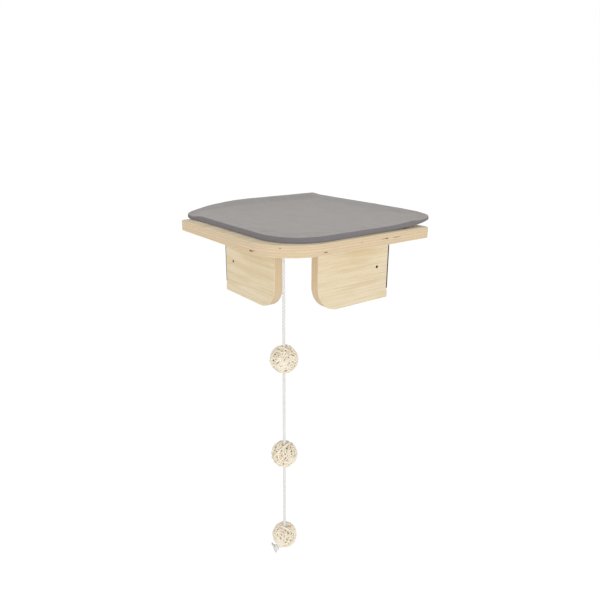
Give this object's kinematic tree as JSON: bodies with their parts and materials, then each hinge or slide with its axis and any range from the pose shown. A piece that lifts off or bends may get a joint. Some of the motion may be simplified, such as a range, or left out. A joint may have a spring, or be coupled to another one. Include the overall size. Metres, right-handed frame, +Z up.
{
  "type": "wall-mounted cat platform",
  "caption": "Corner wall platform for a cat: rounded plywood board on plywood brackets with a padded mat and a hanging string of wound balls.",
  "frame": {"origin": "the corner where the two walls meet, level with the board's underside", "axes": "+Z up, -X into the left wall, +Y into the right wall"},
  "size_m": [0.3, 0.3, 0.5709],
  "materials": {
    "plywood": "pale birch plywood, sanded, matt clear finish, edges show the plies",
    "black_steel": "black oxide and black powder coat, satin",
    "zinc_steel": "bright zinc plate",
    "mat_fleece": "warm grey short-pile fleece on top, darker grey knitted side, dotted non-slip underside",
    "hook_tape": "dark grey hook tape",
    "loop_tape": "grey loop tape",
    "cotton_rope": "off-white twisted cotton cord",
    "cane": "pale natural cane strands, matt"
  },
  "bodies": {
    "platform": {"board": "plywood", "left_bracket": "plywood", "right_bracket": "plywood", "left_board_screws": "zinc_steel", "right_board_screws": "zinc_steel", "left_wall_plate": "black_steel", "right_wall_plate": "black_steel", "left_support_rod": "zinc_steel", "right_support_rod": "zinc_steel", "left_lock_screw": "black_steel", "right_lock_screw": "black_steel", "hook_patches": "hook_tape", "anchor_knot": "cotton_rope"},
    "mat": {"mat": "mat_fleece", "loop_patches": "loop_tape"},
    "string_upper": {"rope_upper": "cotton_rope", "knot_upper": "cotton_rope"},
    "ball_upper": {"ball_upper": "cane"},
    "string_middle": {"rope_middle": "cotton_rope", "knot_middle": "cotton_rope"},
    "ball_middle": {"ball_middle": "cane"},
    "string_lower": {"rope_lower": "cotton_rope", "knot_lower": "cotton_rope", "end_knot": "cotton_rope"},
    "ball_lower": {"ball_lower": "cane"}
  },
  "joints": [
    {"name": "mat_lift", "type": "slide", "parent": "platform", "child": "mat", "axis": [0, 0, 1], "range_m": [0, 0.12]},
    {"name": "swing_upper", "type": "hinge", "parent": "platform", "child": "string_upper", "pos_m": [0.25, -0.257, 0.001], "axis": [-0.7071, 0.7071, 0], "range_deg": [-45, 45]},
    {"name": "spin_upper", "type": "hinge", "parent": "string_upper", "child": "ball_upper", "pos_m": [0.25, -0.257, -0.167], "axis": [0, 0, 1], "continuous": true},
    {"name": "swing_middle", "type": "hinge", "parent": "string_upper", "child": "string_middle", "pos_m": [0.25, -0.257, -0.19305], "axis": [0.7071, 0.7071, 0], "range_deg": [-45, 45]},
    {"name": "spin_middle", "type": "hinge", "parent": "string_middle", "child": "ball_middle", "pos_m": [0.25, -0.257, -0.3365], "axis": [0, 0, 1], "continuous": true},
    {"name": "swing_lower", "type": "hinge", "parent": "string_middle", "child": "string_lower", "pos_m": [0.25, -0.257, -0.3618], "axis": [-0.7071, 0.7071, 0], "range_deg": [-45, 45]},
    {"name": "spin_lower", "type": "hinge", "parent": "string_lower", "child": "ball_lower", "pos_m": [0.25, -0.257, -0.498], "axis": [0, 0, 1], "continuous": true}
  ]
}
